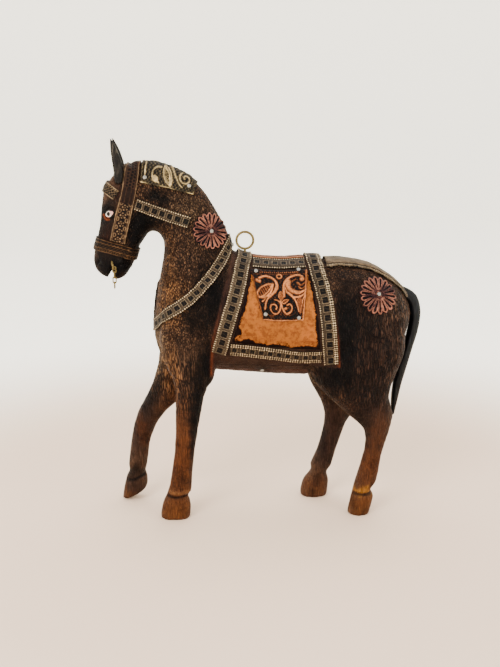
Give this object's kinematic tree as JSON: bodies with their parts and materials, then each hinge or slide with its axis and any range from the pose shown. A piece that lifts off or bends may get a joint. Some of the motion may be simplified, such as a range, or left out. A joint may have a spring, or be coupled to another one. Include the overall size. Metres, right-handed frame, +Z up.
{
  "type": "wooden horse sculpture",
  "caption": "Carved dark wood horse standing in a stepping pose, with embossed brass and copper sheet trim, saddle cloth and a hanging ring.",
  "frame": {"origin": "centre of the bounding box in plan, on the plane that the hooves stand on", "axes": "+Z up, -X the way the horse faces, -Y its left side"},
  "size_m": [0.2596, 0.0766, 0.3],
  "materials": {
    "dark_wood": "aged, satin, carved fur texture with black patina",
    "grey_black_wood": "satin, worn grey-black paint",
    "gloss_black_wood": "gloss black lacquer",
    "aged_brass": "embossed, tarnished",
    "copper": "embossed copper, tarnished at the edges",
    "nail_steel": "worn"
  },
  "bodies": {
    "root": {"back_ring": "aged_brass", "breast_collar": "aged_brass", "browband": "aged_brass", "crupper_strap": "aged_brass", "ear_left": "grey_black_wood", "ear_right": "grey_black_wood", "girth_nail_left": "nail_steel", "girth_nail_right": "nail_steel", "headstall": "aged_brass", "hip_rosette_left": "copper", "hip_rosette_nail_left": "nail_steel", "hip_rosette_nail_right": "nail_steel", "hip_rosette_right": "copper", "horse_body": "dark_wood", "mane_nail_left_1": "nail_steel", "mane_nail_left_2": "nail_steel", "mane_nail_right_1": "nail_steel", "mane_nail_right_2": "nail_steel", "mane_plate": "aged_brass", "mouth_chain": "aged_brass", "mouth_staple": "aged_brass", "neck_rosette_left": "copper", "neck_rosette_nail_left": "nail_steel", "neck_rosette_nail_right": "nail_steel", "neck_rosette_right": "copper", "noseband": "aged_brass", "rein_strip_left": "aged_brass", "rein_strip_right": "aged_brass", "saddle_band_front": "aged_brass", "saddle_band_lower_left": "aged_brass", "saddle_band_lower_right": "aged_brass", "saddle_band_rear": "aged_brass", "saddle_band_upper_left": "aged_brass", "saddle_band_upper_right": "aged_brass", "saddle_nail_left_1": "nail_steel", "saddle_nail_left_2": "nail_steel", "saddle_nail_left_3": "nail_steel", "saddle_nail_left_4": "nail_steel", "saddle_nail_right_1": "nail_steel", "saddle_nail_right_2": "nail_steel", "saddle_nail_right_3": "nail_steel", "saddle_nail_right_4": "nail_steel", "saddle_panel_left": "copper", "saddle_panel_right": "copper", "saddle_plate_left": "copper", "saddle_plate_right": "copper", "seat_sheet": "copper", "tail": "gloss_black_wood", "withers_nail": "nail_steel"}
  },
  "joints": []
}
